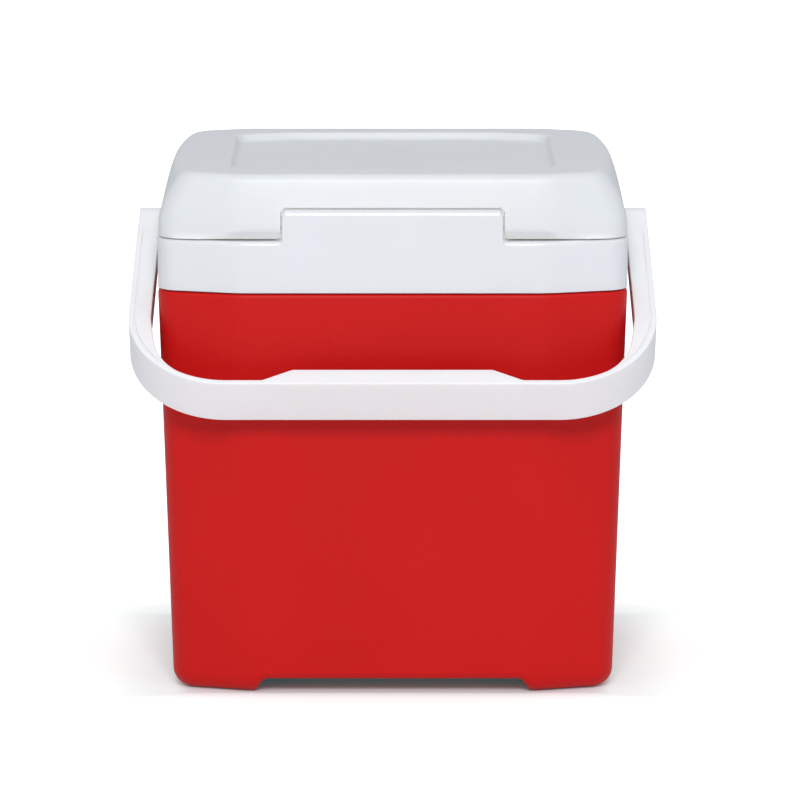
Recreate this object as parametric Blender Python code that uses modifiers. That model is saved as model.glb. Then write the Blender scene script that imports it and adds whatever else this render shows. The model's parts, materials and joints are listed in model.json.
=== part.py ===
"""Small hard-sided picnic cooler: red body, white collar, hinged white lid and swing-over handle.

Run with: blender --background --python part.py
Units are metres, +Z up. The hinge side faces -Y and the cooler stands on z = 0.
"""
import math

import bmesh
import bpy
from mathutils import Matrix, Vector

MM = 0.001
GAP = 0.3 * MM                      # clearance between neighbouring pieces

# Overall plan of the body: a rectangle whose ends fold back in shallow chamfers.
COLLAR_HALF_X = 134.9 * MM
COLLAR_HALF_Y = 104.0 * MM
COLLAR_FLAT = 88.4 * MM             # half length of the flat middle of the long sides
BASE_HALF_X = 127.8 * MM
BASE_HALF_Y = 98.2 * MM
BASE_FLAT = 83.3 * MM
CHAMFER_ANGLE = math.radians(15.4)
FOLD_RADIUS = 45.0 * MM             # soft fold between flat and chamfer
CORNER_RADIUS = 15.0 * MM

# Heights above the floor.
FLOOR_GAP = 8.3 * MM                # underside between the feet
SHELL_TOP = 235.9 * MM
COLLAR_BOTTOM = 236.5 * MM
SKIRT_BOTTOM = 226.0 * MM
SEAM = 266.0 * MM                   # top of the collar, where the lid rests
LID_BOTTOM = 266.8 * MM
LID_TOP = 304.0 * MM

# Wall thicknesses.
SHELL_WALL = 2.0 * MM
COLLAR_WALL = 2.2 * MM
LINER_WALL = 1.8 * MM
LID_WALL = 2.2 * MM

# Feet: four corner blocks left by two crossing channels.
CHANNEL_X = 73.0 * MM               # half width of the channel roof, seen from the long side
CHANNEL_Y = 46.0 * MM
FOOT_RAMP = 8.0 * MM
BASE_ROUND = 11.0 * MM

# Food space.
LINER_TOP_X = 110.0 * MM
LINER_TOP_Y = 80.0 * MM
LINER_BASE_X = 104.0 * MM
LINER_BASE_Y = 74.0 * MM
LINER_FLOOR = 28.0 * MM
LINER_CORNER = 24.0 * MM
MOUTH_X = 114.0 * MM                # opening in the collar
MOUTH_Y = 84.0 * MM

# Lid.
LID_HALF_X = 134.3 * MM
LID_HALF_Y = 104.0 * MM
LID_CREST_X = 126.6 * MM
LID_CREST_Y = 99.0 * MM
LID_BOW = 9.5 * MM                  # how far the crest's ends curve in at the corners
DISH_X = 95.0 * MM
DISH_Y = 79.0 * MM
DISH_DEPTH = 4.5 * MM
PLUG_X = 107.5 * MM
PLUG_Y = 77.5 * MM
PLUG_BOTTOM = 256.0 * MM
LIP_HALF_X = 42.0 * MM              # finger lip on the opening edge
LIP_REACH = 7.0 * MM

# Lid hinge: axis along X near the hinge side.
HINGE_Y = -95.0 * MM
HINGE_Z = 275.5 * MM
HINGE_ROLL = 9.2 * MM               # lid edge is rolled round the axis at this radius
TAB_HALF_X = 63.0 * MM
TAB_TOP = 285.0 * MM
TAB_DEPTH = 15.0 * MM
NOTCH_HALF_X = 63.7 * MM
NOTCH_TOP = 285.7 * MM
POCKET_RADIUS = 11.7 * MM
PIN_RADIUS = 4.0 * MM

# Handle: a U of strap on two studs in the collar's ends.
PIVOT_Z = 257.0 * MM
HUB_HALF_X = 149.0 * MM             # outside of the hubs
HANDLE_HALF_X = 151.8 * MM          # outside of the arms where they bend, a little wider
HANDLE_REACH = 147.0 * MM           # pivot axis to the outside of the grip
HANDLE_WIDTH = 29.0 * MM
HUB_RADIUS = 12.8 * MM
HUB_FLARE = 30.0 * MM               # distance along the arm over which it gains its full width
HANDLE_CORNER = 57.0 * MM
ARM_THICK = 13.0 * MM
BAND_THICK = 3.5 * MM
PAD_THICK = 12.0 * MM
PAD_HALF_X = 57.0 * MM
PAD_RAMP = 17.0 * MM
THIN_START = math.radians(8.0)      # the arm thins to the band between these angles of the bend
THIN_END = math.radians(62.0)
HANG_ANGLE = math.radians(33.0)     # how far the handle hangs below level
STUD_RADIUS = 5.0 * MM
STUD_HEAD = 8.0 * MM
BORE_INNER = 120.0 * MM             # the cutters for bores and seats run from here
BORE_OUTER = 160.0 * MM             # to here, well inside and well outside the pieces they cut

# The model's origin is under the middle of its whole box, the hanging handle included.
HANDLE_Y = HANDLE_REACH * math.cos(HANG_ANGLE) + HANDLE_WIDTH / 2 * math.sin(HANG_ANGLE)
BODY_Y = (HANDLE_Y - (COLLAR_HALF_Y + LIP_REACH)) / 2


# ---------------------------------------------------------------- scene and materials

def clear_scene():
    for obj in list(bpy.data.objects):
        bpy.data.objects.remove(obj, do_unlink=True)


clear_scene()
cooler = bpy.data.collections.new("picnic_cooler")
cutters = bpy.data.collections.new("cutters")
for group in (cooler, cutters):
    bpy.context.scene.collection.children.link(group)


def empty(name, location, parent=None, tilt=0.0):
    obj = bpy.data.objects.new(name, None)
    obj.location = location
    obj.rotation_euler = (tilt, 0.0, 0.0)
    obj.parent = parent
    cooler.objects.link(obj)
    return obj


frame = empty("frame_axis", (0.0, BODY_Y, 0.0))
lid_axis = empty("lid_axis", (0.0, HINGE_Y, HINGE_Z), frame)
handle_axis = empty("handle_axis", (0.0, 0.0, PIVOT_Z), frame, HANG_ANGLE)


def plastic(name, colour, roughness):
    mat = bpy.data.materials.new(name)
    mat.use_nodes = True
    shader = mat.node_tree.nodes["Principled BSDF"]
    shader.inputs["Base Color"].default_value = (*colour, 1.0)
    shader.inputs["Roughness"].default_value = roughness
    shader.inputs["Metallic"].default_value = 0.0
    return mat


RED = plastic("red_shell", (0.58, 0.013, 0.011), 0.45)
COLLAR_WHITE = plastic("collar_white", (0.80, 0.81, 0.83), 0.25)
LID_WHITE = plastic("lid_white", (0.78, 0.80, 0.80), 0.40)
LINER_WHITE = plastic("liner_white", (0.80, 0.80, 0.78), 0.35)
HANDLE_WHITE = plastic("handle_white", (0.79, 0.79, 0.80), 0.35)
PIN_WHITE = plastic("pin_white", (0.74, 0.72, 0.66), 0.40)
FOAM = plastic("foam", (0.83, 0.76, 0.52), 0.90)


# ---------------------------------------------------------------- shape helpers

def rounded_loop(corners):
    """Closed outline through (x, y, radius, steps) corners, each turned into an arc."""
    points = []
    count = len(corners)
    for i, (x, y, radius, steps) in enumerate(corners):
        here = Vector((x, y))
        to_last = (Vector(corners[i - 1][:2]) - here).normalized()
        to_next = (Vector(corners[(i + 1) % count][:2]) - here).normalized()
        half = to_last.angle(to_next) / 2
        centre = here + (to_last + to_next).normalized() * (radius / math.sin(half))
        first = here + to_last * (radius / math.tan(half)) - centre
        last = here + to_next * (radius / math.tan(half)) - centre
        turn = first.angle_signed(last)
        for k in range(steps + 1):
            arm = first.copy()
            arm.rotate(Matrix.Rotation(-turn * k / steps, 2))
            points.append(centre + arm)
    return points


def cooler_plan(half_x, half_y, flat, corner=CORNER_RADIUS, inset=0.0):
    """The body outline: flat middle, shallow chamfer, corner, straight end, four times."""
    drop = (half_x - flat) * math.tan(CHAMFER_ANGLE)
    fold = flat - inset * math.tan(CHAMFER_ANGLE / 2)
    side = half_x - inset
    knee = half_y - drop - inset / math.cos(CHAMFER_ANGLE) + inset * math.tan(CHAMFER_ANGLE)
    front = half_y - inset
    turn = max(corner - inset, 3 * MM)
    quarter = [(side, knee, turn, 5), (fold, front, FOLD_RADIUS, 3)]
    corners = list(quarter)
    corners += [(-x, y, r, n) for x, y, r, n in reversed(quarter)]
    corners += [(-x, -y, r, n) for x, y, r, n in quarter]
    corners += [(x, -y, r, n) for x, y, r, n in reversed(quarter)]
    return rounded_loop(corners)


def rectangle(half_x, half_y, corner, steps=5, centre_y=0.0):
    signs = ((1, 1), (-1, 1), (-1, -1), (1, -1))
    return rounded_loop([(sx * half_x, centre_y + sy * half_y, corner, steps) for sx, sy in signs])


def link(obj, group, parent):
    """Put an object built in the cooler's own coordinates under its parent empty."""
    if parent is lid_axis:
        obj.data.transform(Matrix.Translation(-lid_axis.location))
    obj.parent = parent
    group.objects.link(obj)
    if group is cutters:
        obj.hide_render = True
        obj.display_type = "WIRE"
    return obj


def finish_mesh(bm, name):
    bmesh.ops.remove_doubles(bm, verts=bm.verts, dist=1e-6)
    bmesh.ops.recalc_face_normals(bm, faces=bm.faces)
    mesh = bpy.data.meshes.new(name)
    bm.to_mesh(mesh)
    bm.free()
    return bpy.data.objects.new(name, mesh)


def stack(name, sections):
    """Solid whose outline is carried up through (z, outline) sections by extruding its rim."""
    bm = bmesh.new()
    z, outline = sections[0]
    ring = [bm.verts.new((p.x, p.y, z)) for p in outline]
    bm.faces.new(ring)
    for z, outline in sections[1:]:
        rim = [bm.edges.get((ring[i - 1], ring[i])) for i in range(len(ring))]
        made = bmesh.ops.extrude_edge_only(bm, edges=rim)["geom"]
        fresh = {v for v in made if isinstance(v, bmesh.types.BMVert)}
        following = []
        for vert in ring:
            above = next(e.other_vert(vert) for e in vert.link_edges if e.other_vert(vert) in fresh)
            following.append(above)
        for vert, p in zip(following, outline):
            vert.co = (p.x, p.y, z)
        ring = following
    bm.faces.new(ring)
    return finish_mesh(bm, name)


def prism(name, outline, start, end, along="X"):
    """A flat outline pushed along an axis; its points are (y, z) along X and (x, z) along Y."""
    bm = bmesh.new()
    if along == "X":
        ring = [bm.verts.new((start, p[0], p[1])) for p in outline]
        push = Vector((end - start, 0.0, 0.0))
    elif along == "Y":
        ring = [bm.verts.new((p[0], start, p[1])) for p in outline]
        push = Vector((0.0, end - start, 0.0))
    else:
        ring = [bm.verts.new((p[0], p[1], start)) for p in outline]
        push = Vector((0.0, 0.0, end - start))
    face = bm.faces.new(ring)
    made = bmesh.ops.extrude_face_region(bm, geom=[face], use_keep_orig=True)["geom"]
    bmesh.ops.translate(bm, verts=[v for v in made if isinstance(v, bmesh.types.BMVert)], vec=push)
    return finish_mesh(bm, name)


def cylinder(name, radius, start, end, y, z, sides=40):
    """A round bar along X."""
    bm = bmesh.new()
    place = Matrix.Translation(((start + end) / 2, y, z)) @ Matrix.Rotation(math.pi / 2, 4, "Y")
    bmesh.ops.create_cone(bm, cap_ends=True, segments=sides, radius1=radius, radius2=radius,
                          depth=abs(end - start), matrix=place)
    return finish_mesh(bm, name)


def combine(obj, other, operation):
    mod = obj.modifiers.new(operation.lower(), "BOOLEAN")
    mod.operation = operation
    mod.object = other
    mod.solver = "EXACT"


def finish_part(obj, material, angle=35.0):
    obj.data.materials.append(material)
    obj.data.shade_smooth()
    obj.data.set_sharp_from_angle(angle=math.radians(angle))


def body_section(z, inset=0.0, corner=CORNER_RADIUS):
    """Outline of the tapered red body at a height."""
    t = min(z / SHELL_TOP, 1.0)
    half_x = BASE_HALF_X + (COLLAR_HALF_X - BASE_HALF_X) * t
    half_y = BASE_HALF_Y + (COLLAR_HALF_Y - BASE_HALF_Y) * t
    flat = BASE_FLAT + (COLLAR_FLAT - BASE_FLAT) * t
    return cooler_plan(half_x, half_y, flat, corner, inset)


def rounded_base(bottom, radius, inset, steps=4):
    """Sections of a body-shaped solid's rounded bottom edge."""
    sections = []
    for k in range(steps + 1):
        a = math.pi / 2 * k / steps
        z = bottom + radius * (1 - math.cos(a))
        sections.append((z, body_section(z, inset + radius * (1 - math.sin(a)))))
    return sections


# ---------------------------------------------------------------- outer shell, with its four feet

shell_round = 1.6 * MM
shell_sections = rounded_base(0.0, BASE_ROUND, 0.0)
shell_sections.append((SHELL_TOP - shell_round, body_section(SHELL_TOP - shell_round)))
shell_sections.append((SHELL_TOP - 0.3 * shell_round, body_section(SHELL_TOP, 0.3 * shell_round)))
shell_sections.append((SHELL_TOP, body_section(SHELL_TOP, shell_round)))
outer_shell = link(stack("outer_shell", shell_sections), cooler, frame)

shell_floor = FLOOR_GAP + 3.0 * MM
cavity_sections = rounded_base(shell_floor, BASE_ROUND - SHELL_WALL, SHELL_WALL)
cavity_sections.append((SHELL_TOP, body_section(SHELL_TOP, SHELL_WALL)))
cavity_sections.append((SHELL_TOP + 5 * MM, body_section(SHELL_TOP + 5 * MM, SHELL_WALL)))
shell_cavity = link(stack("shell_cavity", cavity_sections), cutters, frame)
combine(outer_shell, shell_cavity, "DIFFERENCE")


def channel(half_roof):
    """Cross-section of an underside channel, wider at the floor than at its roof."""
    slope = FOOT_RAMP / FLOOR_GAP
    low = -2.0 * MM
    half_low = half_roof + slope * (FLOOR_GAP - low)
    return [(-half_low, low), (half_low, low), (half_roof, FLOOR_GAP), (-half_roof, FLOOR_GAP)]


reach = COLLAR_HALF_X + 20 * MM
channel_long = link(prism("channel_long", channel(CHANNEL_X), -reach, reach, "Y"), cutters, frame)
channel_cross = link(prism("channel_cross", channel(CHANNEL_Y), -reach, reach, "X"), cutters, frame)
combine(outer_shell, channel_long, "DIFFERENCE")
combine(outer_shell, channel_cross, "DIFFERENCE")
finish_part(outer_shell, RED)


# ---------------------------------------------------------------- inner liner

def liner_section(z, offset=0.0, corner=LINER_CORNER):
    t = (z - LINER_FLOOR) / (SEAM - LINER_FLOOR)
    half_x = LINER_BASE_X + (LINER_TOP_X - LINER_BASE_X) * t + offset
    half_y = LINER_BASE_Y + (LINER_TOP_Y - LINER_BASE_Y) * t + offset
    return rectangle(half_x, half_y, corner + offset)


def liner_cup(bottom, radius, offset):
    sections = []
    for k in range(5):
        a = math.pi / 2 * k / 4
        z = bottom + radius * (1 - math.cos(a))
        sections.append((z, liner_section(z, offset - radius * (1 - math.sin(a)))))
    return sections


flange_top = SEAM - COLLAR_WALL - GAP
flange_bottom = flange_top - LINER_WALL
flange_x = COLLAR_HALF_X - 8 * MM
flange_y = COLLAR_HALF_Y - 8 * MM
flange_outline = rectangle(flange_x, flange_y, LINER_CORNER + 8 * MM)
liner_sections = liner_cup(LINER_FLOOR - LINER_WALL, 14 * MM, LINER_WALL)
liner_sections.append((flange_bottom, liner_section(flange_bottom, LINER_WALL)))
liner_sections.append((flange_bottom, flange_outline))
liner_sections.append((flange_top, flange_outline))
inner_liner = link(stack("inner_liner", liner_sections), cooler, frame)

food_space = liner_cup(LINER_FLOOR, 12 * MM, 0.0)
food_space.append((flange_top + 2 * MM, liner_section(flange_top + 2 * MM)))
liner_cavity = link(stack("liner_cavity", food_space), cutters, frame)
combine(inner_liner, liner_cavity, "DIFFERENCE")
finish_part(inner_liner, LINER_WHITE)


# ---------------------------------------------------------------- insulating foam of the body

foam_inset = SHELL_WALL + GAP
foam_neck = SKIRT_BOTTOM - 2 * GAP
neck_inset = SHELL_WALL + GAP + COLLAR_WALL + GAP
foam_top = flange_bottom - GAP
foam_sections = rounded_base(shell_floor + GAP, BASE_ROUND - foam_inset, foam_inset)
foam_sections.append((foam_neck, body_section(foam_neck, foam_inset)))
foam_sections.append((foam_neck, body_section(foam_neck, neck_inset)))
foam_sections.append((foam_top, body_section(foam_top, neck_inset)))
body_foam = link(stack("body_foam", foam_sections), cooler, frame)

foam_bed = liner_cup(LINER_FLOOR - LINER_WALL - GAP, 14 * MM + GAP, LINER_WALL + GAP)
foam_bed.append((foam_top + 2 * MM, liner_section(foam_top + 2 * MM, LINER_WALL + GAP)))
foam_cavity = link(stack("foam_cavity", foam_bed), cutters, frame)
combine(body_foam, foam_cavity, "DIFFERENCE")
finish_part(body_foam, FOAM)


# ---------------------------------------------------------------- collar, hinge tab and pivot bosses

def collar_section(inset=0.0):
    return cooler_plan(COLLAR_HALF_X, COLLAR_HALF_Y, COLLAR_FLAT, CORNER_RADIUS, inset)


collar_round = 2.2 * MM
skirt_inset = SHELL_WALL + GAP
collar_sections = [
    (SKIRT_BOTTOM, collar_section(skirt_inset + 0.2 * MM)),
    (COLLAR_BOTTOM, collar_section(skirt_inset)),
    (COLLAR_BOTTOM, collar_section(0.0)),
    (SEAM - collar_round, collar_section(0.0)),
    (SEAM - 0.3 * collar_round, collar_section(0.3 * collar_round)),
    (SEAM, collar_section(collar_round)),
]
collar = link(stack("collar", collar_sections), cooler, frame)

skirt_inner = skirt_inset + COLLAR_WALL
land_underside = SEAM - COLLAR_WALL
collar_hollow = link(stack("collar_hollow", [
    (SKIRT_BOTTOM - 1 * MM, collar_section(skirt_inner)),
    (COLLAR_BOTTOM + 3 * MM, collar_section(skirt_inner)),
    (COLLAR_BOTTOM + 5 * MM, collar_section(COLLAR_WALL)),
    (land_underside, collar_section(COLLAR_WALL)),
]), cutters, frame)
collar_mouth = link(stack("collar_mouth", [
    (land_underside - 2 * MM, rectangle(MOUTH_X, MOUTH_Y, LINER_CORNER + 4 * MM)),
    (SEAM + 2 * MM, rectangle(MOUTH_X, MOUTH_Y, LINER_CORNER + 4 * MM)),
]), cutters, frame)
combine(collar, collar_hollow, "DIFFERENCE")
combine(collar, collar_mouth, "DIFFERENCE")

tab_outline = rounded_loop([
    (-COLLAR_HALF_Y, SEAM - 2.0 * MM, 0.05 * MM, 1),
    (-COLLAR_HALF_Y + TAB_DEPTH, SEAM - 2.0 * MM, 0.05 * MM, 1),
    (-COLLAR_HALF_Y + TAB_DEPTH, TAB_TOP, 3.5 * MM, 5),
    (-COLLAR_HALF_Y, TAB_TOP, 5.0 * MM, 6),
])
hinge_tab = link(prism("hinge_tab", tab_outline, -TAB_HALF_X, TAB_HALF_X), cutters, frame)
combine(collar, hinge_tab, "UNION")

boss_radius = 8.4 * MM
boss_face = HUB_HALF_X - ARM_THICK - 0.5 * MM
pin_inner = TAB_HALF_X - 9.0 * MM
pin_outer = NOTCH_HALF_X + 6.0 * MM
for side, sign in (("left", -1), ("right", 1)):
    boss = cylinder("boss_" + side, boss_radius, sign * (COLLAR_HALF_X - COLLAR_WALL),
                    sign * boss_face, 0.0, PIVOT_Z)
    combine(collar, link(boss, cutters, frame), "UNION")
    stud_hole = cylinder("stud_hole_" + side, STUD_RADIUS + GAP, sign * BORE_INNER,
                         sign * (boss_face + 2 * MM), 0.0, PIVOT_Z)
    combine(collar, link(stud_hole, cutters, frame), "DIFFERENCE")
    pin_hole = cylinder("pin_hole_" + side, PIN_RADIUS + GAP, sign * (pin_inner - GAP),
                        sign * (TAB_HALF_X + 2 * MM), HINGE_Y, HINGE_Z)
    combine(collar, link(pin_hole, cutters, frame), "DIFFERENCE")
finish_part(collar, COLLAR_WHITE)


# ---------------------------------------------------------------- turned pins and studs

def turned(name, profile, location, turn):
    """A round piece from a (radius, height) profile listed top to bottom, laid along X."""
    mesh = bpy.data.meshes.new(name)
    bm = bmesh.new()
    verts = [bm.verts.new((r, 0.0, h)) for r, h in profile]
    for a, b in zip(verts, verts[1:]):
        bm.edges.new((a, b))
    bm.to_mesh(mesh)
    bm.free()
    obj = bpy.data.objects.new(name, mesh)
    obj.location = location
    obj.rotation_euler = (0.0, turn, 0.0)
    screw = obj.modifiers.new("turn", "SCREW")
    screw.axis = "Z"
    screw.steps = 32
    screw.render_steps = 32
    screw.use_merge_vertices = True
    screw.merge_threshold = 0.00001
    screw.use_normal_calculate = False
    return obj


pin_half = (pin_outer - pin_inner) / 2
pin_chamfer = 0.6 * MM
pin_profile = [(0.0, pin_half), (PIN_RADIUS - pin_chamfer, pin_half),
               (PIN_RADIUS, pin_half - pin_chamfer), (PIN_RADIUS, pin_chamfer - pin_half),
               (PIN_RADIUS - pin_chamfer, -pin_half), (0.0, -pin_half)]

stud_root = COLLAR_HALF_X - neck_inset + GAP
head_top = HUB_HALF_X - 0.4 * MM
head_under = head_top - 2.4 * MM
flange_out = COLLAR_HALF_X - COLLAR_WALL - GAP
stud_profile = [(0.0, head_top), (STUD_HEAD - 0.8 * MM, head_top), (STUD_HEAD, head_top - 0.8 * MM),
                (STUD_HEAD, head_under), (STUD_RADIUS, head_under), (STUD_RADIUS, flange_out),
                (STUD_RADIUS + 1.5 * MM, flange_out), (STUD_RADIUS, stud_root), (0.0, stud_root)]

for side, sign in (("left", -1), ("right", 1)):
    turn = sign * math.pi / 2
    pin_middle = (sign * (pin_inner + pin_outer) / 2, HINGE_Y, HINGE_Z)
    pin = turned("hinge_pin_" + side, pin_profile, pin_middle, turn)
    stud = turned("pivot_stud_" + side, stud_profile, (0.0, 0.0, PIVOT_Z), turn)
    for obj in (pin, stud):
        obj.parent = frame
        cooler.objects.link(obj)
        finish_part(obj, PIN_WHITE)


# ---------------------------------------------------------------- lid cover

def smooth_step(low, high, value):
    t = min(max((value - low) / (high - low), 0.0), 1.0)
    return t * t * (3 - 2 * t)


def lid_section(z, inset=0.0):
    """Outline of the lid: its walls lean in more and more towards the crest."""
    t = max(0.0, (z - HINGE_Z) / (LID_TOP - HINGE_Z))
    lean = 0.35 * t + 0.65 * t * t
    half_x = LID_HALF_X + (LID_CREST_X - LID_HALF_X) * lean
    half_y = LID_HALF_Y + (LID_CREST_Y - LID_HALF_Y) * lean
    points = cooler_plan(half_x, half_y, COLLAR_FLAT, CORNER_RADIUS, inset)
    for p in points:
        out = smooth_step(COLLAR_FLAT, LID_CREST_X, abs(p.x))
        p.x -= math.copysign(LID_BOW * lean * out * (p.y / half_y) ** 2, p.x)
    return points


def lid_stack(bottom, top, inset, crest):
    """Sections of the lid's outer form, or of the hollow inside it, up to a rounded crest."""
    sections = [(bottom, lid_section(bottom, inset))]
    for k in range(4):
        z = HINGE_Z + (top - crest - HINGE_Z) * k / 3
        sections.append((z, lid_section(z, inset)))
    for k in range(1, 5):
        a = math.pi / 2 * k / 4
        z = top - crest * (1 - math.sin(a))
        sections.append((z, lid_section(z, inset + crest * (1 - math.cos(a)))))
    return sections


crest_radius = 4.0 * MM
lid_cover = link(stack("lid_cover", lid_stack(LID_BOTTOM, LID_TOP, 0.0, crest_radius)),
                 cooler, lid_axis)


def under_hinge(name, radius):
    """What lies below and behind the hinge axis, outside a roll of the given radius."""
    y_out = -COLLAR_HALF_Y - 5 * MM
    z_low = SEAM - 12 * MM
    points = [(y_out, z_low), (HINGE_Y, z_low), (HINGE_Y, HINGE_Z - radius)]
    for k in range(1, 9):
        a = math.pi / 2 * k / 8
        points.append((HINGE_Y - radius * math.sin(a), HINGE_Z - radius * math.cos(a)))
    points.append((y_out, HINGE_Z))
    return prism(name, points, -reach, reach)


roll_trim = link(under_hinge("roll_trim", HINGE_ROLL), cutters, lid_axis)
combine(lid_cover, roll_trim, "DIFFERENCE")

# The dish pressed into the top.
dish_floor = LID_TOP - DISH_DEPTH
dish_run = 3.0 * MM
dish = link(stack("dish", [
    (dish_floor, cooler_plan(DISH_X - dish_run, DISH_Y - dish_run, 57 * MM, 14 * MM)),
    (LID_TOP + 1 * MM, cooler_plan(DISH_X + 0.6 * MM, DISH_Y + 0.6 * MM, 60 * MM, 14 * MM)),
]), cutters, lid_axis)
combine(lid_cover, dish, "DIFFERENCE")

# The hollow inside, which leaves the pocket walls round the hinge tab.
hollow_top = dish_floor - LID_WALL
lid_hollow = link(stack("lid_hollow", lid_stack(LID_BOTTOM - 2 * MM, hollow_top, LID_WALL, 2 * MM)),
                  cutters, lid_axis)
inner_trim = link(under_hinge("inner_trim", HINGE_ROLL - LID_WALL - 0.4 * MM), cutters, lid_axis)
combine(lid_hollow, inner_trim, "DIFFERENCE")
pocket_wall = 2.4 * MM
pocket_back = HINGE_Y + POCKET_RADIUS + 0.4 * MM
cheek = 6.4 * MM
pocket_block = link(prism("pocket_block", [
    (-COLLAR_HALF_Y - 5 * MM, SEAM - 10 * MM),
    (pocket_back + pocket_wall, SEAM - 10 * MM),
    (pocket_back + pocket_wall, HINGE_Z + POCKET_RADIUS + pocket_wall),
    (-COLLAR_HALF_Y - 5 * MM, HINGE_Z + POCKET_RADIUS + pocket_wall),
], -NOTCH_HALF_X - cheek, NOTCH_HALF_X + cheek), cutters, lid_axis)
combine(lid_hollow, pocket_block, "DIFFERENCE")
combine(lid_cover, lid_hollow, "DIFFERENCE")

# The pocket itself, open below and behind, and the notch in the hinge-side wall.
pocket_points = [(-COLLAR_HALF_Y - 5 * MM, SEAM - 5 * MM), (pocket_back, SEAM - 5 * MM),
                 (pocket_back, HINGE_Z)]
for k in range(1, 8):
    a = math.radians(115.0) * k / 8
    pocket_points.append((HINGE_Y + POCKET_RADIUS * math.cos(a), HINGE_Z + POCKET_RADIUS * math.sin(a)))
pocket_points.append((HINGE_Y - 5.4 * MM, NOTCH_TOP))
pocket_points.append((-COLLAR_HALF_Y - 5 * MM, NOTCH_TOP))
hinge_pocket = link(prism("hinge_pocket", pocket_points, -NOTCH_HALF_X, NOTCH_HALF_X),
                    cutters, lid_axis)
combine(lid_cover, hinge_pocket, "DIFFERENCE")
for side, sign in (("left", -1), ("right", 1)):
    bore = cylinder("lid_bore_" + side, PIN_RADIUS + GAP, sign * (NOTCH_HALF_X - 3 * MM),
                    sign * (pin_outer + 3 * MM), HINGE_Y, HINGE_Z)
    combine(lid_cover, link(bore, cutters, lid_axis), "DIFFERENCE")

# The finger lip on the opening edge.
lip_y = COLLAR_HALF_Y
lip_outline = rounded_loop([
    (lip_y - 1.0 * MM, LID_BOTTOM + 1.6 * MM, 0.05 * MM, 1),
    (lip_y + LIP_REACH, LID_BOTTOM + 1.6 * MM, 1.2 * MM, 3),
    (lip_y + LIP_REACH, LID_BOTTOM + 4.6 * MM, 1.2 * MM, 3),
    (lip_y - 1.0 * MM, LID_BOTTOM + 9.5 * MM, 0.05 * MM, 1),
])
finger_lip = link(prism("finger_lip", lip_outline, -LIP_HALF_X, LIP_HALF_X), cutters, lid_axis)
combine(lid_cover, finger_lip, "UNION")
finish_part(lid_cover, LID_WHITE)


# ---------------------------------------------------------------- lid liner, with its plug

plug_corner = LINER_CORNER - 2 * MM
plate_top = LID_BOTTOM + 2.2 * MM
plate_outline = cooler_plan(LID_HALF_X, LID_HALF_Y, COLLAR_FLAT, CORNER_RADIUS, LID_WALL + GAP)
lid_liner = link(stack("lid_liner", [
    (LID_BOTTOM, plate_outline),
    (plate_top, plate_outline),
]), cooler, lid_axis)


def plug_stack(bottom, inset, radius, top):
    sections = []
    for k in range(4):
        a = math.pi / 2 * k / 3
        z = bottom + radius * (1 - math.cos(a))
        shrink = inset + radius * (1 - math.sin(a))
        sections.append((z, rectangle(PLUG_X - shrink, PLUG_Y - shrink, plug_corner - inset)))
    sections.append((top, rectangle(PLUG_X - inset, PLUG_Y - inset, plug_corner - inset)))
    return sections


plug_wall = 2.0 * MM
plug_body = link(stack("plug_body", plug_stack(PLUG_BOTTOM, 0.0, 4 * MM, plate_top - 0.2 * MM)),
                 cutters, lid_axis)
plug_hollow = link(stack("plug_hollow", plug_stack(PLUG_BOTTOM + plug_wall, plug_wall, 3 * MM,
                                                   plate_top + 2 * MM)), cutters, lid_axis)
combine(lid_liner, plug_body, "UNION")
combine(lid_liner, plug_hollow, "DIFFERENCE")
rear_trim = link(prism("rear_trim", [
    (-COLLAR_HALF_Y - 5 * MM, SEAM - 5 * MM), (HINGE_Y + GAP, SEAM - 5 * MM),
    (HINGE_Y + GAP, SEAM + 9 * MM), (-COLLAR_HALF_Y - 5 * MM, SEAM + 9 * MM),
], -reach, reach), cutters, lid_axis)
notch_y = pocket_back + pocket_wall + GAP
notch_x = NOTCH_HALF_X + cheek + GAP
notch_trim = link(prism("notch_trim", [
    (-COLLAR_HALF_Y - 6 * MM, SEAM - 4 * MM), (notch_y, SEAM - 4 * MM),
    (notch_y, SEAM + 8 * MM), (-COLLAR_HALF_Y - 6 * MM, SEAM + 8 * MM),
], -notch_x, notch_x), cutters, lid_axis)
combine(lid_liner, rear_trim, "DIFFERENCE")
combine(lid_liner, notch_trim, "DIFFERENCE")
finish_part(lid_liner, LINER_WHITE)


# ---------------------------------------------------------------- lid foam

slab_back = notch_y + GAP
slab_front = COLLAR_HALF_Y - 13 * MM
slab_half = (slab_front - slab_back) / 2
slab_middle = (slab_front + slab_back) / 2
foam_plug = plug_wall + GAP
lid_foam = link(stack("lid_foam", [
    (PLUG_BOTTOM + foam_plug + 3 * MM,
     rectangle(PLUG_X - foam_plug - 1 * MM, PLUG_Y - foam_plug - 1 * MM, plug_corner - foam_plug)),
    (plate_top + GAP,
     rectangle(PLUG_X - foam_plug - 1 * MM, PLUG_Y - foam_plug - 1 * MM, plug_corner - foam_plug)),
    (plate_top + GAP, rectangle(121 * MM, slab_half, 25 * MM, 5, slab_middle)),
    (hollow_top - 2 * MM, rectangle(118 * MM, slab_half, 25 * MM, 5, slab_middle)),
]), cooler, lid_axis)
finish_part(lid_foam, FOAM)


# ---------------------------------------------------------------- handle

def arc(centre_x, centre_r, radius, start, end, steps):
    points = []
    for k in range(steps + 1):
        a = start + (end - start) * k / steps
        points.append((centre_x + radius * math.cos(a), centre_r + radius * math.sin(a)))
    return points


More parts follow.
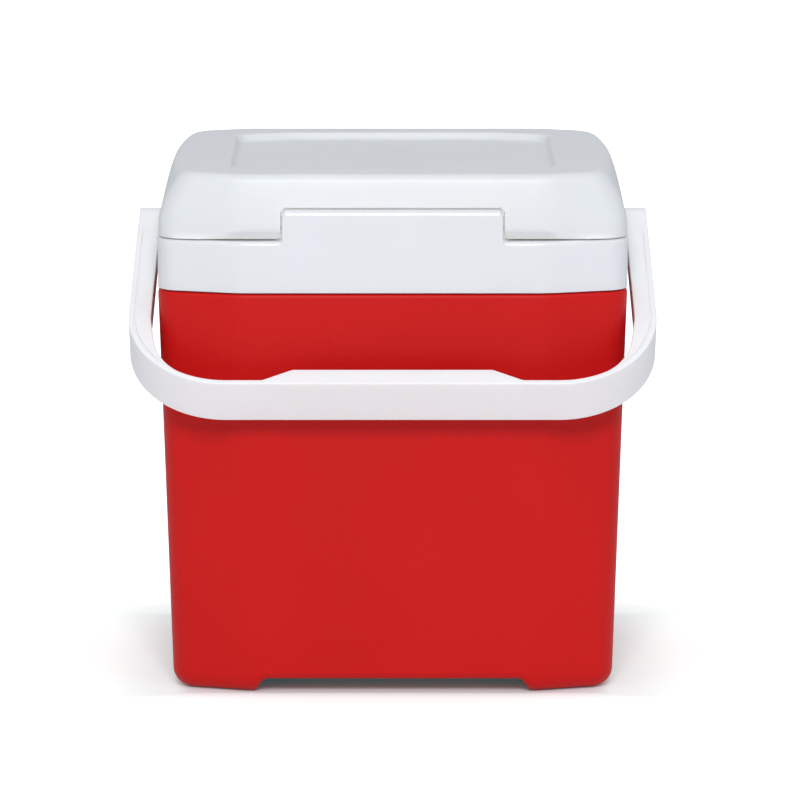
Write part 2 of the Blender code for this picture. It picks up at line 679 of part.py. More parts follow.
def handle_half():
    """Half the U in (x, reach): up the outside from the hub, then back along the inside."""
    centre_x = HANDLE_HALF_X - HANDLE_CORNER
    centre_r = HANDLE_REACH - HANDLE_CORNER
    splay = (HANDLE_HALF_X - HUB_HALF_X) / centre_r
    flare_x = HUB_HALF_X + splay * HUB_FLARE
    outside = [(HUB_HALF_X, 0.0), (flare_x, HUB_FLARE)]
    outside += arc(centre_x, centre_r, HANDLE_CORNER, 0.0, math.pi / 2, 14)
    inside = [(PAD_HALF_X, HANDLE_REACH - PAD_THICK), (PAD_HALF_X + PAD_RAMP, HANDLE_REACH - BAND_THICK)]
    for k in range(13):
        a = math.pi / 2 * (1 - k / 12)
        thinning = smooth_step(THIN_START, THIN_END, a)
        radius = HANDLE_CORNER - ARM_THICK + (ARM_THICK - BAND_THICK) * thinning
        inside.append((centre_x + radius * math.cos(a), centre_r + radius * math.sin(a)))
    inside += [(flare_x - ARM_THICK, HUB_FLARE), (HUB_HALF_X - ARM_THICK, 0.0)]
    return outside, inside


outside, inside = handle_half()
outline = list(outside)
outline += [(-x, r) for x, r in reversed(outside)]
outline += [(-x, r) for x, r in reversed(inside)]
outline += inside
strap = [(x, -r) for x, r in outline]
handle = prism("handle", strap, -HANDLE_WIDTH / 2, HANDLE_WIDTH / 2, "Z")
for vert in handle.data.vertices:
    if vert.co.y > -HUB_FLARE / 2:
        vert.co.z *= HUB_RADIUS / (HANDLE_WIDTH / 2)
link(handle, cooler, handle_axis)

rim_thick = 2.2 * MM
groove_wide = 2.6 * MM
groove_deep = 6.5 * MM
groove_start = 12.0 * MM
groove_end = 96.0 * MM
arm_splay = (HANDLE_HALF_X - HUB_HALF_X) / (HANDLE_REACH - HANDLE_CORNER)
for side, sign in (("left", -1), ("right", 1)):
    hub = cylinder("hub_" + side, HUB_RADIUS, sign * (HUB_HALF_X - ARM_THICK),
                   sign * HUB_HALF_X, 0.0, 0.0, 48)
    combine(handle, link(hub, cutters, handle_axis), "UNION")
    bore = cylinder("hub_bore_" + side, STUD_RADIUS + GAP, sign * BORE_INNER, sign * BORE_OUTER,
                    0.0, 0.0)
    combine(handle, link(bore, cutters, handle_axis), "DIFFERENCE")
    seat = cylinder("hub_seat_" + side, STUD_HEAD + GAP, sign * (head_under - GAP),
                    sign * BORE_OUTER, 0.0, 0.0)
    combine(handle, link(seat, cutters, handle_axis), "DIFFERENCE")
    groove_x = HUB_HALF_X - rim_thick - groove_wide
    for edge, up in (("near", 1), ("far", -1)):
        top = HANDLE_WIDTH / 2 + 2 * MM
        low = HANDLE_WIDTH / 2 - groove_deep
        groove = prism("groove_" + edge + "_" + side, [
            (-groove_start, up * top), (-groove_end - 10 * MM, up * top), (-groove_end, up * low),
            (-groove_start - 6 * MM, up * low),
        ], sign * groove_x, sign * (groove_x + groove_wide))
        for vert in groove.data.vertices:
            vert.co.x -= sign * arm_splay * vert.co.y
        combine(handle, link(groove, cutters, handle_axis), "DIFFERENCE")
finish_part(handle, HANDLE_WHITE)
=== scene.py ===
"""Looks for the small picnic cooler: red grained body, white collar, dished lid, strap handle."""
import json
import math

import bmesh
import bpy
from mathutils import Matrix, Vector


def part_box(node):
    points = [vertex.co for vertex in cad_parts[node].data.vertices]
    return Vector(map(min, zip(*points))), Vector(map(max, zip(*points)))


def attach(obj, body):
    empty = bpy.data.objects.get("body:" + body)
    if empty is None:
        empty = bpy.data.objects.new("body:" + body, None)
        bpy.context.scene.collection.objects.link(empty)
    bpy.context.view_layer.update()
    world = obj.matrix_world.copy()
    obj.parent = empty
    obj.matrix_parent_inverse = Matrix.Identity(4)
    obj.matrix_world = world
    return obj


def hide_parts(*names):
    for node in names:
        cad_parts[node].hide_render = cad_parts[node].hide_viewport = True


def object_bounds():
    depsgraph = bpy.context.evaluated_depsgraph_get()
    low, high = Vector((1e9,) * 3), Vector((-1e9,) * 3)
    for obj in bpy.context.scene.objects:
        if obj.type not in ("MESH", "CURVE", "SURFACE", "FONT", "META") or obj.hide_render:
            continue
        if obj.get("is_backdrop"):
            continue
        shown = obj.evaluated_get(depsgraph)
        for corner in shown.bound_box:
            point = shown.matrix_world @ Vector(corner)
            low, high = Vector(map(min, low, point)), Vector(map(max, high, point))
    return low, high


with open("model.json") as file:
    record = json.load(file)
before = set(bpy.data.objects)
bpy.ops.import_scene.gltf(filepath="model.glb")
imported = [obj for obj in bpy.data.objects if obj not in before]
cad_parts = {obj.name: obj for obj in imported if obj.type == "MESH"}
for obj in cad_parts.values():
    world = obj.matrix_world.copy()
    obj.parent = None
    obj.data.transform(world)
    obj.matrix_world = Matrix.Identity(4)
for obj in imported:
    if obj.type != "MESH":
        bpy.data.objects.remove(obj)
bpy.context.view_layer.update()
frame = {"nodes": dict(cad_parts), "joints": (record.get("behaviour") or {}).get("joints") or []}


# ---- Outer shell -------------------------------------------------------------------------------
# One red polyethylene moulding with a fine pebble grain. Its walls lean in towards the floor, its
# long sides fold back in shallow chamfers, and four feet are moulded at its bottom corners.

MM = 0.001
collar_low, collar_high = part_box("collar")
shell_low, shell_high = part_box("outer_shell")
middle_y = (collar_low.y + collar_high.y) / 2       # the body's middle, front to back

rim_x = (shell_high.x - shell_low.x) / 2
rim_y = (shell_high.y - shell_low.y) / 2
rim_flat = 88.4 * MM                # half length of the flat middle of a long side
draft_x = 7.1 * MM                  # how far each wall leans in from rim to floor
draft_y = 5.8 * MM
draft_flat = 5.1 * MM
chamfer = math.radians(15.4)
fold_radius = 45.0 * MM
corner_radius = 15.0 * MM
shell_wall = 2.0 * MM


def arc_corner(here, before, after, radius, steps):
    """Points of the arc that rounds one corner of an outline."""
    to_last = (before - here).normalized()
    to_next = (after - here).normalized()
    half = to_last.angle(to_next) / 2
    centre = here + (to_last + to_next).normalized() * (radius / math.sin(half))
    first = here + to_last * (radius / math.tan(half)) - centre
    last = here + to_next * (radius / math.tan(half)) - centre
    turn = first.angle_signed(last)
    points = []
    for k in range(steps + 1):
        arm = first.copy()
        arm.rotate(Matrix.Rotation(-turn * k / steps, 2))
        points.append(centre + arm)
    return points


def between(start, end, count):
    """Even points of a straight run, without its ends."""
    return [start.lerp(end, (k + 1) / (count + 1)) for k in range(count)]


def flat_run(start, end, mark, fringe):
    """Points along a flat, with a pair at each mark, where a tab or a notch ends."""
    hand = math.copysign(1.0, start.x)
    reach = [mark + f for f in reversed(fringe)] + [mark, mark] + [mark - f for f in fringe]
    left = [Vector((hand * x, start.y)) for x in reach]
    right = [Vector((-hand * x, start.y)) for x in reversed(reach)]
    points = between(start, left[0], 6) + left
    points += between(left[-1], right[0], 35) + right
    return points + between(right[-1], end, 6)


def outline(half_x, half_y, flat, inset=0.0, mark=71.0 * MM, fringe=(), corner=corner_radius):
    """The cooler's plan, counter-clockwise from the right end: ends, corners, chamfers, flats."""
    drop = (half_x - flat) * math.tan(chamfer)
    side, front = half_x - inset, half_y - inset
    knee = half_y - drop - inset / math.cos(chamfer) + inset * math.tan(chamfer)
    fold = flat - inset * math.tan(chamfer / 2)
    turn = max(corner - inset, 2.5 * MM)
    quarter = [(side, knee, turn, 10), (fold, front, fold_radius, 9)]
    spots = list(quarter)
    spots += [(-x, y, r, n) for x, y, r, n in reversed(quarter)]
    spots += [(-x, -y, r, n) for x, y, r, n in quarter]
    spots += [(x, -y, r, n) for x, y, r, n in reversed(quarter)]
    corners = [Vector(s[:2]) for s in spots]
    arcs = []
    for i, (x, y, radius, steps) in enumerate(spots):
        arcs.append(arc_corner(corners[i], corners[i - 1], corners[(i + 1) % 8], radius, steps))
    points = []
    for i, bend in enumerate(arcs):
        start, end = bend[-1], arcs[(i + 1) % 8][0]
        points += bend
        if i in (1, 5):
            points += flat_run(start, end, mark, fringe)
        elif i in (3, 7):
            points += between(start, end, 61)
        else:
            points += between(start, end, 4)
    return points


def lift(points, z):
    """An outline around the body's middle, raised to a height."""
    return [Vector((p.x, p.y + middle_y, z)) for p in points]


def new_piece(name, bm):
    bmesh.ops.remove_doubles(bm, verts=bm.verts, dist=2e-6)
    bmesh.ops.dissolve_degenerate(bm, dist=2e-6, edges=bm.edges)
    bmesh.ops.recalc_face_normals(bm, faces=bm.faces)
    mesh = bpy.data.meshes.new(name)
    bm.to_mesh(mesh)
    bm.free()
    piece = bpy.data.objects.new(name, mesh)
    bpy.context.scene.collection.objects.link(piece)
    return piece


def weave(rings, cap_first=False, cap_last=False):
    """Quads between closed rings of equal length."""
    bm = bmesh.new()
    rows = [[bm.verts.new(p) for p in ring] for ring in rings]
    for lower, upper in zip(rows, rows[1:]):
        for i in range(len(lower)):
            bm.faces.new((lower[i - 1], lower[i], upper[i], upper[i - 1]))
    if cap_first:
        bm.faces.new(rows[0])
    if cap_last:
        bm.faces.new(rows[-1])
    return bm


def thicken(piece, wall, offset=-1.0, even=True):
    """Gives a skin its wall. Without even, the inner side stays near at tight folds."""
    solid = piece.modifiers.new("wall", "SOLIDIFY")
    solid.thickness = wall
    solid.offset = offset
    solid.use_even_offset = even


def soften(piece, width, angle=60.0, segments=3):
    """Rounds the real edges of a piece."""
    bevel = piece.modifiers.new("edges", "BEVEL")
    bevel.limit_method = "ANGLE"
    bevel.angle_limit = math.radians(angle)
    bevel.width = width
    bevel.segments = segments
    bevel.use_clamp_overlap = False


def shade(piece, angle=40.0):
    """Smooth shading that breaks only at real edges and leans on the large faces."""
    piece.data.shade_smooth()
    piece.data.set_sharp_from_angle(angle=math.radians(angle))
    lean = piece.modifiers.new("normals", "WEIGHTED_NORMAL")
    lean.keep_sharp = True
    lean.weight = 60


def smooth(low, high, value):
    t = min(max((value - low) / (high - low), 0.0), 1.0)
    return t * t * (3 - 2 * t)


floor_gap = 8.3 * MM                        # height of the channels between the feet
foot_x, foot_y = 77.2 * MM, 50.0 * MM       # middle of the ramps beside the feet
ramp = 4.0 * MM                             # half length of a ramp
base_round, panel_round = 11.0 * MM, 4.5 * MM
lip_round = 2.6 * MM
base_clear = 1.5 * MM                       # wall left plain above the rounded bottom edge


def foot(x, y):
    """1 on a foot and 0 under the channels between the feet."""
    return smooth(foot_x - ramp, foot_x + ramp, abs(x)) * smooth(foot_y - ramp, foot_y + ramp, abs(y))


def shell_plan(z, inset=0.0):
    t = 1 - min(max(z / shell_high.z, 0.0), 1.0)
    return outline(rim_x - draft_x * t, rim_y - draft_y * t, rim_flat - draft_flat * t, inset)


def base_ring(turn):
    """One ring of the rounded bottom edge, which drops on to the feet at the corners."""
    plain = shell_plan(base_round)
    ring = []
    for i, p in enumerate(plain):
        along = (plain[(i + 2) % len(plain)] - plain[i - 2]).normalized()
        on_foot = foot(p.x, p.y)
        radius = panel_round + (base_round - panel_round) * on_foot
        q = p + Vector((-along.y, along.x)) * (radius * (1 - math.cos(turn)))
        ring.append(Vector((q.x, q.y + middle_y,
                            floor_gap * (1 - on_foot) + radius * (1 - math.sin(turn)))))
    return ring


shell_rings = []
for k in range(7):
    a = math.pi / 2 * k / 6
    shell_rings.append(lift(shell_plan(shell_high.z, lip_round * (1 - math.sin(a))),
                            shell_high.z - lip_round * (1 - math.cos(a))))
wall_top = shell_high.z - lip_round
for k in range(1, 14):
    z = wall_top + (base_round + base_clear - wall_top) * k / 13
    shell_rings.append(lift(shell_plan(z), z))
for k in range(9):
    shell_rings.append(base_ring(math.pi / 2 * k / 8))
edge_ring = shell_rings[-1]
for k in range(1, 34):
    s = 1 - k / 36
    ring = []
    for p in edge_ring:
        x, y = p.x * s, (p.y - middle_y) * s
        ring.append(Vector((x, y + middle_y, floor_gap * (1 - foot(x, y)))))
    shell_rings.append(ring)

shell = new_piece("body_shell", weave(shell_rings, cap_last=True))
thicken(shell, shell_wall, even=False)
shade(shell)


class Wire:
    """A value on its way between shader nodes; arithmetic on it adds Math nodes."""

    def __init__(self, socket):
        self.socket = socket

    def math(self, operation, first, second):
        node = self.socket.id_data.nodes.new("ShaderNodeMath")
        node.operation = operation
        for slot, value in zip(node.inputs, (first, second)):
            if isinstance(value, Wire):
                self.socket.id_data.links.new(value.socket, slot)
            else:
                slot.default_value = value
        return Wire(node.outputs[0])

    def __add__(self, other):
        return self.math("ADD", self, other)

    def __rsub__(self, other):
        return self.math("SUBTRACT", other, self)

    def __mul__(self, other):
        return self.math("MULTIPLY", self, other)

    __radd__ = __add__
    __rmul__ = __mul__


class Finish:
    """A material being put together round one Principled shader."""

    def __init__(self, name, **settings):
        self.material = bpy.data.materials.new(name)
        self.material.use_nodes = True
        self.tree = self.material.node_tree
        self.shader = self.tree.nodes["Principled BSDF"]
        for key, value in settings.items():
            self.shader.inputs[key.replace("_", " ")].default_value = value
        self.place = self.node("ShaderNodeTexCoord", out="Object")

    def node(self, kind, out=0, setup=None, **inputs):
        """Adds a node: its settings first, then the values or links of its sockets."""
        made = self.tree.nodes.new(kind)
        for key, value in (setup or {}).items():
            setattr(made, key, value)
        for key, value in inputs.items():
            slot = made.inputs[int(key[1:])] if key[1:].isdigit() else made.inputs[key]
            if isinstance(value, Wire):
                self.tree.links.new(value.socket, slot)
            else:
                slot.default_value = value
        return Wire(made.outputs[out])

    def noise(self, scale, detail=2.0, roughness=0.5):
        return self.node("ShaderNodeTexNoise", Vector=self.place, Scale=scale, Detail=detail,
                         Roughness=roughness)

    def mask(self, value, low, high):
        return self.node("ShaderNodeMapRange", setup={"interpolation_type": "SMOOTHSTEP"},
                         i0=value, i1=low, i2=high)

    def mix(self, factor, first, second):
        first, second = ((*c, 1.0) if isinstance(c, tuple) else c for c in (first, second))
        return self.node("ShaderNodeMix", out=2, setup={"data_type": "RGBA"}, i0=factor,
                         i6=first, i7=second)

    def bump(self, height, distance, strength=1.0, under=None):
        inputs = {"Height": height, "Distance": distance, "Strength": strength}
        if under:
            inputs["Normal"] = under
        return self.node("ShaderNodeBump", **inputs)

    def drive(self, **sockets):
        for key, value in sockets.items():
            self.tree.links.new(value.socket, self.shader.inputs[key.replace("_", " ")])
        return self.material


def red_plastic():
    """Grained red polyethylene: pebbles about a millimetre wide, paler rubs low on the feet."""
    red = Finish("red_grain", Specular_IOR_Level=0.20)
    pebbles = red.node("ShaderNodeTexVoronoi", setup={"feature": "SMOOTH_F1"}, Vector=red.place,
                       Scale=820.0, Smoothness=0.7)
    grain = 1.0 - pebbles + red.noise(1500.0, 3.0, 0.6) * 0.35
    drift = red.mask(red.noise(9.0, 2.0), 0.3, 0.7)
    colour = red.mix(drift, (0.550, 0.0050, 0.0040), (0.580, 0.0060, 0.0048))
    height = red.node("ShaderNodeSeparateXYZ", out="Z", Vector=red.place)
    scuff = red.mask(red.noise(260.0, 4.0, 0.7), 0.56, 0.75) * (1.0 - red.mask(height, 0.0, 0.004))
    colour = red.mix(scuff * 0.5, colour, (0.62, 0.10, 0.09))
    ripple = red.bump(red.noise(28.0, 1.0), 0.0004, 0.35)
    return red.drive(Base_Color=colour, Roughness=0.40 + pebbles * 0.14 + scuff * 0.1,
                     Normal=red.bump(grain, 0.00016, 0.6, ripple))


def put(piece, material, body, slot, *nodes):
    """Gives a piece its material, the body it rides on and the nodes it stands for, which it hides. Its
    slot is not used.
    """
    piece.data.materials.append(material)
    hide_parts(*nodes)
    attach(piece, body)


put(shell, red_plastic(), "body", "red_shell", "outer_shell")


# ---- Inner liner -------------------------------------------------------------------------------
# A smooth white cup, vacuum formed in one piece, with soft corners and a flange that is held
# under the collar.

liner_low, liner_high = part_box("inner_liner")
liner_mouth_x, liner_mouth_y = 109.8 * MM, 79.8 * MM
liner_lean = 5.8 * MM
liner_wall = 1.8 * MM
liner_floor = liner_low.z + liner_wall
liner_round = 12.0 * MM
liner_corner = 24.0 * MM
flange_corner = 32.0 * MM
flange_curl = 1.5 * MM


def soft_box(half_x, half_y, corner):
    spots = [Vector((half_x, half_y)), Vector((-half_x, half_y)),
             Vector((-half_x, -half_y)), Vector((half_x, -half_y))]
    arcs = [arc_corner(spots[i], spots[i - 1], spots[(i + 1) % 4], corner, 14) for i in range(4)]
    points = []
    for i, bend in enumerate(arcs):
        points += bend + between(bend[-1], arcs[(i + 1) % 4][0], 9)
    return points


def liner_plan(z, shrink=0.0):
    t = (liner_high.z - z) / (liner_high.z - liner_floor)
    return soft_box(liner_mouth_x - liner_lean * t - shrink, liner_mouth_y - liner_lean * t - shrink,
                    liner_corner - shrink)


liner_rings = [lift(soft_box((liner_high.x - liner_low.x) / 2, (liner_high.y - liner_low.y) / 2,
                             flange_corner), liner_high.z)]
for k in range(6):
    a = math.pi / 2 * k / 5
    z = liner_high.z - flange_curl * (1 - math.cos(a))
    liner_rings.append(lift(liner_plan(z, -flange_curl * (1 - math.sin(a))), z))
wall_top = liner_high.z - flange_curl
for k in range(1, 11):
    z = wall_top - (wall_top - liner_floor - liner_round) * k / 10
    liner_rings.append(lift(liner_plan(z), z))
for k in range(1, 9):
    a = math.pi / 2 * k / 8
    z = liner_floor + liner_round * (1 - math.sin(a))
    liner_rings.append(lift(liner_plan(z, liner_round * (1 - math.cos(a))), z))
liner = new_piece("food_liner", weave(liner_rings, cap_last=True))
thicken(liner, liner_wall, 1.0)
shade(liner)


def white_plastic(name, tint, roughness, grain=0.0, coat=0.0, wave=0.3, glow=None):
    """White mould plastic: slow tint drift, faint flow ripples, and a fine grain if it has one.

    A glow is painted light, an emission that lightens the shade in the gaps round the hinge: its
    colour, and the place that it reaches up and in to, from below and from the hinge side.
    """
    fade_up, fade_in = 4.5 * MM, 6.0 * MM
    white = Finish(name, Specular_IOR_Level=0.5, Coat_Weight=coat, Coat_Roughness=0.12,
                   Subsurface_Weight=0.30, Subsurface_Radius=(0.006, 0.005, 0.004),
                   Subsurface_Scale=1.0)
    warm = tuple(c * f for c, f in zip(tint, (0.985, 0.982, 0.972)))
    colour = white.mix(white.mask(white.noise(11.0, 2.0), 0.35, 0.65), tint, warm)
    normal = white.bump(white.noise(22.0, 1.0), 0.0004, wave)
    if grain:
        normal = white.bump(white.noise(1900.0, 2.0, 0.5), 0.00006, grain, normal)
    if glow:
        shine, edge = glow
        # painted light: emission, strongest low down and towards the hinge side, lightens the shade
        # there
        reach = white.node("ShaderNodeSeparateXYZ", out="Y", Vector=white.place)
        height = white.node("ShaderNodeSeparateXYZ", out="Z", Vector=white.place)
        low = 1.0 - white.mask(height, edge.z - fade_up, edge.z)
        rear = 1.0 - white.mask(reach, edge.y, edge.y + fade_in)
        white.shader.inputs["Emission Strength"].default_value = 1.0
        white.drive(Emission_Color=white.mix(low * rear, (0.0, 0.0, 0.0), shine))
    return white.drive(Base_Color=colour, Normal=normal,
                       Roughness=roughness - 0.03 + white.noise(60.0, 3.0, 0.6) * 0.06)


put(liner, white_plastic("liner_gloss", (0.80, 0.80, 0.785), 0.30), "body", "liner_white",
    "inner_liner")


# ---- Collar ------------------------------------------------------------------------------------
# A glossy white injection-moulded ring that closes the gap between shell and liner. Its hinge side
# rises in a tab between the lid's two hinge ears, and a low round boss on each end spaces the
# handle.

collar_x = 134.9 * MM
collar_y = (collar_high.y - collar_low.y) / 2
collar_wall = 2.2 * MM
collar_turn_in = 4.2 * MM            # how far the lower edge turns in over the shell
collar_foot = shell_high.z + 0.4 * MM
seam = 266.0 * MM
edge_round = 2.4 * MM
tab_x = 63.0 * MM                   # half width of the hinge tab
tab_top = collar_high.z
tab_deep = 15.0 * MM
tab_corner = 3.0 * MM               # upper corners of the tab, seen from the hinge side
tab_edge = 0.9 * MM
tab_fillet = 2.4 * MM               # where the tab's sides meet the collar's top
fillet_rise = 1.5                   # the fillet's height over its width
fillet_start, fillet_end = 1.5 * MM, 3.2 * MM       # depth over which the fillet fades
front_round, back_round = 5.0 * MM, 3.5 * MM
collar_fringe = (0.12 * MM, 0.4 * MM, 0.9 * MM, 1.5 * MM, 2.1 * MM, 3.0 * MM)
mouth_x, mouth_y, mouth_corner = 114.0 * MM, 84.0 * MM, 28.0 * MM


def dip(radius, distance):
    """How far a rounded edge falls back at a distance from its end."""
    short = max(radius - distance, 0.0)
    return radius - math.sqrt(radius * radius - short * short)


def collar_plan(inset):
    return outline(collar_x, collar_y, rim_flat, inset, tab_x, collar_fringe)


def tab_profile(distance):
    """(inset, z) up the tab's face, over its top and down its back, at a distance from its end."""
    ease, top = dip(tab_edge, distance), tab_top - dip(tab_corner, distance)
    back = tab_deep - ease
    path = [(ease / 2, seam + 1.0 * MM), (ease, seam + 5.0 * MM), (ease, seam + 10.0 * MM)]
    path.append((ease, top - front_round))
    for k in range(1, 9):
        a = math.pi / 2 * k / 8
        path.append((ease + front_round * (1 - math.cos(a)), top - front_round * (1 - math.sin(a))))
    path += [(8.0 * MM, top), (back - back_round, top)]
    for k in range(1, 6):
        a = math.pi / 2 * k / 5
        path.append((back - back_round * (1 - math.sin(a)), top - back_round * (1 - math.cos(a))))
    return path + [(back, seam + 8.0 * MM), (tab_deep, seam)]


widest = collar_plan(0.0)
within = [i for i, p in enumerate(widest) if p.y < 0 and abs(p.x) <= tab_x + 1e-6]
on_tab = set(within[1:-1])

wall_rise = seam - edge_round - collar_foot
collar_path = [(collar_turn_in, collar_foot), (0.9 * MM, collar_foot),
               (0.45 * MM, collar_foot + 0.05 * MM), (0.13 * MM, collar_foot + 0.2 * MM),
               (0.0, collar_foot + 0.6 * MM)]
collar_path += [(0.0, collar_foot + wall_rise * share) for share in (0.12, 0.3, 0.5, 0.7, 0.88, 1.0)]
tab_start = len(collar_path)
for k in range(1, 8):
    a = math.pi / 2 * k / 7
    collar_path.append((edge_round * (1 - math.cos(a)), seam - edge_round * (1 - math.sin(a))))
spare = len(tab_profile(0.0)) - 7
for k in range(1, spare + 1):
    collar_path.append((edge_round + (tab_deep - edge_round) * k / spare, seam))

collar_rings = []
for row, (inset, z) in enumerate(collar_path):
    ring = lift(collar_plan(inset), z)
    for i, p in enumerate(widest):
        if row < tab_start or p.y > 0:
            continue
        distance = abs(abs(p.x) - tab_x)
        if i in on_tab:
            tab_inset, tab_z = tab_profile(distance)[row - tab_start]
            ring[i] = Vector((p.x, p.y + tab_inset + middle_y, tab_z))
        elif abs(p.x) < tab_x + tab_fillet:
            ring[i].z += (dip(tab_fillet, distance) * fillet_rise * (z - seam + edge_round) / edge_round
                          * (1 - smooth(fillet_start, fillet_end, inset)))
    collar_rings.append(ring)


def mouth_point(p, half_x, half_y, corner):
    """The point of a soft-cornered opening that faces a point of the outline round it."""
    core_x, core_y = half_x - corner, half_y - corner
    core = Vector((min(max(p.x, -core_x), core_x), min(max(p.y, -core_y), core_y)))
    return core + (p - core).normalized() * corner


mouth = [mouth_point(p, mouth_x, mouth_y, mouth_corner) for p in collar_plan(tab_deep)]
land_end = collar_rings[-1]
for share, z in ((0.5, seam), (0.86, seam), (1.0, seam - 0.6 * MM)):
    collar_rings.append([a.lerp(b, share) for a, b in zip(land_end, lift(mouth, z))])
collar_rings.append(lift(mouth, seam - 2.4 * MM))
collar = new_piece("collar_ring", weave(collar_rings))
thicken(collar, collar_wall, even=False)
shade(collar)

joints = {joint["name"]: Vector(joint["pos_m"]) for joint in frame["joints"]}
pivot = joints["handle_swing"]
hinge = joints["lid_hinge"]


def turned(name, profile, axis, hand):
    """A round piece on an axis along X, from (radius, distance out) points."""
    rings = []
    for radius, out in profile:
        ring = []
        for k in range(72):
            a = 2 * math.pi * k / 72
            ring.append(Vector((hand * out, axis.y + radius * math.cos(a),
                                axis.z + radius * math.sin(a))))
        rings.append(ring)
    return new_piece(name, weave(rings))


collar_gloss = white_plastic("collar_gloss", (0.772, 0.774, 0.792), 0.20, coat=0.25, wave=0.22)
put(collar, collar_gloss, "body", "collar_white", "collar")
bore, boss, boss_edge = 5.3 * MM, 8.4 * MM, 0.6 * MM
boss_root = collar_x - 1.5 * MM     # the boss starts inside the collar's skin
for hand, side in ((-1, "left"), (1, "right")):
    face = collar_high.x
    spacer = turned("collar_boss_" + side, [
        (bore, boss_root), (boss, boss_root), (boss, face - boss_edge),
        (boss - 0.2 * MM, face - 0.2 * MM), (boss - boss_edge, face), (bore + 0.3 * MM, face),
        (bore, face - 0.3 * MM), (bore, boss_root)], pivot, hand)
    shade(spacer)
    put(spacer, collar_gloss, "body", "collar_white", "collar")


# ---- Lid cover ---------------------------------------------------------------------------------
# The lid's satin white top shell: walls that lean in to a soft crest, a shallow dish pressed into
# the top, a notch for the hinge tab and a flared finger lip on the opening edge. Its hinge-side
# edge is rolled round the hinge axis, so that it can turn over the collar.

lid_low, lid_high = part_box("lid_cover")
lid_x, lid_y = 134.3 * MM, 104.0 * MM
crest_x, crest_y = 126.6 * MM, 99.0 * MM
bow = 9.5 * MM                      # how far the crest's ends curve in at the corners
crest_round = 4.2 * MM
roll = 9.2 * MM                     # radius of the hinge-side edge round the axis
notch_x, notch_top = 63.4 * MM, 285.4 * MM
notch_corner = 3.0 * MM
ear_rise = 1.7                      # height over width of the ears' rounded lower corners
lip_reach = 7.0 * MM
lip_flat, lip_half = 33.0 * MM, 46.0 * MM
lip_low, lip_high = 270.0 * MM, 277.5 * MM          # heights between which the lip flares out
lean_share = 0.35                   # part of the walls' lean that is straight; the rest curves
lid_foot = lid_low.z - 0.4 * MM
dish_x, dish_y, dish_flat, dish_corner = 95.0 * MM, 79.0 * MM, 60.0 * MM, 14.0 * MM
dish_deep = 4.5 * MM
lid_wall = 2.2 * MM
corner_steps = [notch_corner * (1 - math.cos(math.pi / 2 * k / 4)) for k in range(5)]


def lid_plan(z, inset=0.0):
    t = max(0.0, (z - hinge.z) / (lid_high.z - hinge.z))
    lean = lean_share * t + (1 - lean_share) * t * t
    points = outline(lid_x + (crest_x - lid_x) * lean, lid_y + (crest_y - lid_y) * lean,
                     rim_flat, inset, notch_x, corner_steps[1:])
    flare = lip_reach * (1 - smooth(lip_low, lip_high, z))
    drop = min(max(hinge.z - z, 0.0), roll)
    behind = hinge.y - middle_y - math.sqrt(roll * roll - drop * drop)
    for p in points:
        out = smooth(rim_flat, crest_x, abs(p.x))
        p.x -= math.copysign(bow * lean * out * (p.y / lid_y) ** 2, p.x)
        if drop > 0.0:
            p.y = max(p.y, behind)
        if p.y > 0:
            p.y += flare * (1 - smooth(lip_flat, lip_half, abs(p.x)))
    return points


heights = {lid_foot + step * ear_rise for step in corner_steps}
heights |= {notch_top - step for step in corner_steps}
heights |= {z * MM for z in (272.3, 273.6, 274.5, 275.5, 276.5, 277.5, 279.0, 280.9,
                             288.5, 291.5, 294.5, 297.5)}
heights.add(lid_high.z - crest_round)
lid_rings = [lift(lid_plan(z), z) for z in sorted(heights)]
for k in range(1, 9):
    a = math.pi / 2 * k / 8
    z = lid_high.z - crest_round * (1 - math.sin(a))
    lid_rings.append(lift(lid_plan(z, crest_round * (1 - math.cos(a))), z))


def dish_plan(inset):
    return outline(dish_x, dish_y, dish_flat, inset, 40.0 * MM, corner_steps[1:], dish_corner)


# The dish's wall in section: a small brow, a slope and a fillet, as (inset, depth).
brow, fillet, slope = 1.6 * MM, 3.0 * MM, math.radians(62.0)
dish_path = [(brow * math.sin(slope * k / 4), brow * (1 - math.cos(slope * k / 4))) for k in range(5)]
fall = dish_deep - (brow + fillet) * (1 - math.cos(slope))
foot_inset = dish_path[-1][0] + fall / math.tan(slope) + fillet * math.sin(slope)
for k in range(7):
    a = slope * (1 - k / 6)
    dish_path.append((foot_inset - fillet * math.sin(a), dish_deep - fillet * (1 - math.cos(a))))
crest_ring = lid_rings[-1]
brow_ring = lift(dish_plan(0.0), lid_high.z)
for share in (0.1, 0.35, 0.65, 0.9):
    lid_rings.append([a.lerp(b, share) for a, b in zip(crest_ring, brow_ring)])
for inset, depth in dish_path:
    lid_rings.append(lift(dish_plan(inset), lid_high.z - depth))
floor_ring = lid_rings[-1]
centre = Vector((0.0, middle_y, floor_ring[0].z))
for share in (0.05, 0.15, 0.3, 0.5, 0.7, 0.88):
    lid_rings.append([p.lerp(centre, share) for p in floor_ring])


def in_notch(p):
    """True inside the notch, whose upper corners are rounded and whose lower ones flare out."""
    if p.y > middle_y:
        return False
    x, z, tiny = abs(p.x), p.z, 1e-5
    if x > notch_x + notch_corner or z > notch_top - tiny:
        return False
    if x < notch_x - tiny:
        high = x > notch_x - notch_corner and z > notch_top - notch_corner
        arm = Vector((x - notch_x + notch_corner, z - notch_top + notch_corner))
        return not high or arm.length < notch_corner - tiny
    arm = Vector((x - notch_x - notch_corner, (z - lid_foot) / ear_rise - notch_corner))
    return arm.y < 0.0 and arm.length > notch_corner + tiny


